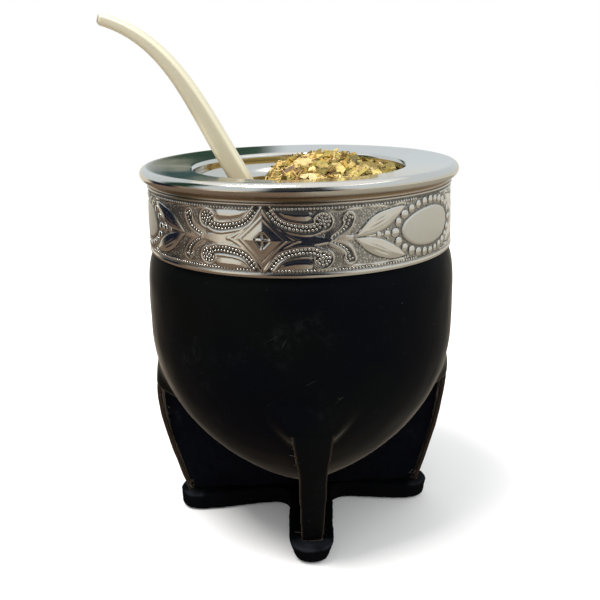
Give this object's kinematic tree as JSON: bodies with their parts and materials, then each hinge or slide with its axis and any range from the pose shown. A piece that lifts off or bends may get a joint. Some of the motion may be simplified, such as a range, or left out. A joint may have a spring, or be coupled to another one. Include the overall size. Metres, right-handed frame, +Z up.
{
  "type": "footed mate gourd with herb and metal straw",
  "caption": "Leather-covered mate gourd on radial leather legs and a lobed sole, with an ornamented metal collar, a heap of dry herb and a curved metal straw.",
  "frame": {"origin": "middle of the sole's underside, on the axis of the cup", "axes": "+Z up along the cup's axis; the straw leans towards -X; -Y is the front leg's side"},
  "size_m": [0.0988, 0.09, 0.1486],
  "materials": {
    "calabash": "dry matt shell, dark brown inside",
    "smooth_leather": "black smooth leather, satin, fine grain with a few scratches",
    "suede": "blue-black rough leather, matt, with frayed fibres",
    "sole_leather": "thick black sole leather, matt, paler and worn at the lobes",
    "alpaca_metal": "polished and chased nickel silver",
    "straw_metal": "satin nickel silver, slightly warm",
    "dry_herb": "dry olive and straw-coloured flakes and twigs, matt"
  },
  "bodies": {
    "root": {"gourd": "calabash", "leather_cover": "smooth_leather", "strip_right": "smooth_leather", "strip_back": "smooth_leather", "strip_left": "smooth_leather", "strip_front": "smooth_leather", "leg_right": "suede", "leg_back": "suede", "leg_left": "suede", "leg_front": "suede", "sole": "sole_leather", "collar": "alpaca_metal", "bombilla": "straw_metal", "yerba": "dry_herb"}
  },
  "joints": []
}
